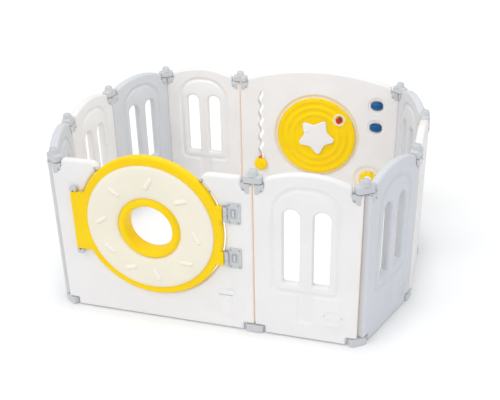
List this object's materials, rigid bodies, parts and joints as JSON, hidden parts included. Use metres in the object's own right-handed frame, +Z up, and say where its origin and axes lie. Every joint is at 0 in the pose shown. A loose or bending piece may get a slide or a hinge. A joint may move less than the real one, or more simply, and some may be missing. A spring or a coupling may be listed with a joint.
{
  "type": "playpen",
  "caption": "Free-standing ring of moulded play-yard panels on pinned corner connectors, with a round ring-doughnut gate on hinges and a wide panel of turning and sliding toys.",
  "frame": {"origin": "on the floor, under the middle of the bounding box of the standing ring", "axes": "+X along the front towards the narrow front panel, +Y from the gate towards the toy panel, +Z up"},
  "size_m": [1.4144, 1.1496, 0.6629],
  "materials": {
    "white_panel": "satin moulded polyethylene",
    "grey_panel": "satin moulded polyethylene",
    "fitting_grey": "satin moulded plastic",
    "gate_yellow": "soft gloss moulded plastic",
    "icing_cream": "soft gloss moulded plastic",
    "toy_yellow": "gloss moulded plastic",
    "toy_white": "gloss moulded plastic",
    "toy_blue": "gloss moulded plastic",
    "toy_red": "gloss moulded plastic",
    "leaf_green": "gloss moulded plastic",
    "leaf_orange": "gloss moulded plastic",
    "steel": "zinc-plated steel"
  },
  "bodies": {
    "front": {"gate_frame": "white_panel", "front_panel": "white_panel", "front_middle_cap": "fitting_grey", "front_middle_foot": "fitting_grey", "front_brackets": "fitting_grey", "hinge_plates": "fitting_grey", "hinge_screws": "steel", "hinge_pins": "steel", "latch_keepers": "fitting_grey"},
    "gate": {"gate_ring": "gate_yellow", "icing_front": "icing_cream", "icing_back": "icing_cream", "gate_hinge_leaves": "fitting_grey"},
    "upper_latch": {"upper_latch_pin": "steel"},
    "lower_latch": {"lower_latch_pin": "steel"},
    "back": {"activity_panel": "white_panel", "back_panel": "white_panel", "back_middle_cap": "fitting_grey", "back_middle_foot": "fitting_grey", "back_brackets": "fitting_grey", "toy_axles": "fitting_grey"},
    "dial": {"dial": "toy_yellow", "dial_star": "toy_white", "strawberry_cup": "toy_white"},
    "strawberry": {"strawberry": "toy_red", "strawberry_leaf": "leaf_green"},
    "slider": {"fruit_slider": "toy_yellow", "fruit_leaf": "leaf_orange", "slider_washer": "toy_white"},
    "upper_roller": {"upper_roller": "toy_blue"},
    "lower_roller": {"lower_roller": "toy_blue"},
    "sun_spinner": {"sun_spinner": "toy_yellow"},
    "right_near": {"right_near_panel": "grey_panel", "right_near_brackets": "fitting_grey"},
    "right_middle": {"right_middle_panel": "white_panel", "right_middle_brackets": "fitting_grey"},
    "right_far": {"right_far_panel": "grey_panel", "right_far_brackets": "fitting_grey"},
    "left_far": {"left_far_panel": "grey_panel", "left_far_brackets": "fitting_grey"},
    "left_middle": {"left_middle_panel": "white_panel", "left_middle_brackets": "fitting_grey"},
    "left_near": {"left_near_panel": "grey_panel", "left_near_brackets": "fitting_grey"},
    "front_right_link": {"front_right_cap": "fitting_grey", "front_right_foot": "fitting_grey"},
    "right_near_link": {"right_near_cap": "fitting_grey", "right_near_foot": "fitting_grey"},
    "right_far_link": {"right_far_cap": "fitting_grey", "right_far_foot": "fitting_grey"},
    "back_right_link": {"back_right_cap": "fitting_grey", "back_right_foot": "fitting_grey"},
    "back_left_link": {"back_left_cap": "fitting_grey", "back_left_foot": "fitting_grey"},
    "left_far_link": {"left_far_cap": "fitting_grey", "left_far_foot": "fitting_grey"},
    "left_near_link": {"left_near_cap": "fitting_grey", "left_near_foot": "fitting_grey"},
    "front_left_link": {"front_left_cap": "fitting_grey", "front_left_foot": "fitting_grey"}
  },
  "joints": [
    {"name": "squeeze", "type": "hinge", "parent": "front", "child": "front_right_link", "pos_m": [0.535, -0.51976, 0], "axis": [0, 0, 1], "range_deg": [-12.5, 10]},
    {"name": "right_near_turn", "type": "hinge", "parent": "front_right_link", "child": "right_near", "pos_m": [0.56777, -0.49682, 0], "axis": [0, 0, 1], "range_deg": [-12.5, 10]},
    {"name": "right_near_link_turn", "type": "hinge", "parent": "right_near", "child": "right_near_link", "pos_m": [0.68063, -0.18672, 0], "axis": [0, 0, 1], "range_deg": [-10, 12.5]},
    {"name": "right_middle_turn", "type": "hinge", "parent": "right_near_link", "child": "right_middle", "pos_m": [0.68758, -0.14733, 0], "axis": [0, 0, 1], "range_deg": [-10, 12.5]},
    {"name": "right_far_link_turn", "type": "hinge", "parent": "right_middle", "child": "right_far_link", "pos_m": [0.68758, 0.18268, 0], "axis": [0, 0, 1], "range_deg": [-10, 12.5]},
    {"name": "right_far_turn", "type": "hinge", "parent": "right_far_link", "child": "right_far", "pos_m": [0.68063, 0.22207, 0], "axis": [0, 0, 1], "range_deg": [-10, 12.5]},
    {"name": "back_right_link_turn", "type": "hinge", "parent": "right_far", "child": "back_right_link", "pos_m": [0.56777, 0.53217, 0], "axis": [0, 0, 1], "range_deg": [-12.5, 10]},
    {"name": "back_turn", "type": "hinge", "parent": "back_right_link", "child": "back", "pos_m": [0.535, 0.55511, 0], "axis": [0, 0, 1], "range_deg": [-12.5, 10]},
    {"name": "front_left_link_turn", "type": "hinge", "parent": "front", "child": "front_left_link", "pos_m": [-0.535, -0.51976, 0], "axis": [0, 0, 1], "range_deg": [-10, 12.5]},
    {"name": "left_near_turn", "type": "hinge", "parent": "front_left_link", "child": "left_near", "pos_m": [-0.56777, -0.49682, 0], "axis": [0, 0, 1], "range_deg": [-10, 12.5]},
    {"name": "left_near_link_turn", "type": "hinge", "parent": "left_near", "child": "left_near_link", "pos_m": [-0.68063, -0.18672, 0], "axis": [0, 0, 1], "range_deg": [-12.5, 10]},
    {"name": "left_middle_turn", "type": "hinge", "parent": "left_near_link", "child": "left_middle", "pos_m": [-0.68758, -0.14733, 0], "axis": [0, 0, 1], "range_deg": [-12.5, 10]},
    {"name": "left_far_link_turn", "type": "hinge", "parent": "left_middle", "child": "left_far_link", "pos_m": [-0.68758, 0.18268, 0], "axis": [0, 0, 1], "range_deg": [-12.5, 10]},
    {"name": "left_far_turn", "type": "hinge", "parent": "left_far_link", "child": "left_far", "pos_m": [-0.68063, 0.22207, 0], "axis": [0, 0, 1], "range_deg": [-12.5, 10]},
    {"name": "back_left_link_turn", "type": "hinge", "parent": "left_far", "child": "back_left_link", "pos_m": [-0.56777, 0.53217, 0], "axis": [0, 0, 1], "range_deg": [-10, 12.5]},
    {"name": "gate_hinge", "type": "hinge", "parent": "front", "child": "gate", "pos_m": [0.091, -0.54426, 0.387], "axis": [0, 0, 1], "range_deg": [0, 110]},
    {"name": "upper_latch_slide", "type": "slide", "parent": "gate", "child": "upper_latch", "axis": [0, 0, -1], "range_m": [0, 0.0045], "stiffness_N_per_m": 200, "springref_m": -0.008},
    {"name": "lower_latch_slide", "type": "slide", "parent": "gate", "child": "lower_latch", "axis": [0, 0, 1], "range_m": [0, 0.0045], "stiffness_N_per_m": 200, "springref_m": -0.008},
    {"name": "dial_spin", "type": "hinge", "parent": "back", "child": "dial", "pos_m": [0.182, 0.53911, 0.354], "axis": [0, -1, 0], "continuous": true},
    {"name": "strawberry_spin", "type": "hinge", "parent": "dial", "child": "strawberry", "pos_m": [0.28848, 0.53511, 0.44335], "axis": [0, -1, 0], "continuous": true},
    {"name": "fruit_slide", "type": "slide", "parent": "back", "child": "slider", "axis": [0, 0, 1], "range_m": [0, 0.35]},
    {"name": "upper_roller_spin", "type": "hinge", "parent": "back", "child": "upper_roller", "pos_m": [0.455, 0.54461, 0.521], "axis": [1, 0, 0], "continuous": true},
    {"name": "lower_roller_spin", "type": "hinge", "parent": "back", "child": "lower_roller", "pos_m": [0.455, 0.54461, 0.417], "axis": [1, 0, 0], "continuous": true},
    {"name": "sun_spin", "type": "hinge", "parent": "back", "child": "sun_spinner", "pos_m": [0.431, 0.53911, 0.16], "axis": [0, -1, 0], "continuous": true}
  ],
  "couplings": [
    {"joint": "right_near_turn", "follows": "squeeze", "ratio": 1},
    {"joint": "right_near_link_turn", "follows": "squeeze", "ratio": -1},
    {"joint": "right_middle_turn", "follows": "squeeze", "ratio": -1},
    {"joint": "right_far_link_turn", "follows": "squeeze", "ratio": -1},
    {"joint": "right_far_turn", "follows": "squeeze", "ratio": -1},
    {"joint": "back_right_link_turn", "follows": "squeeze", "ratio": 1},
    {"joint": "back_turn", "follows": "squeeze", "ratio": 1},
    {"joint": "front_left_link_turn", "follows": "squeeze", "ratio": -1},
    {"joint": "left_near_turn", "follows": "squeeze", "ratio": -1},
    {"joint": "left_near_link_turn", "follows": "squeeze", "ratio": 1},
    {"joint": "left_middle_turn", "follows": "squeeze", "ratio": 1},
    {"joint": "left_far_link_turn", "follows": "squeeze", "ratio": 1},
    {"joint": "left_far_turn", "follows": "squeeze", "ratio": 1},
    {"joint": "back_left_link_turn", "follows": "squeeze", "ratio": -1}
  ]
}
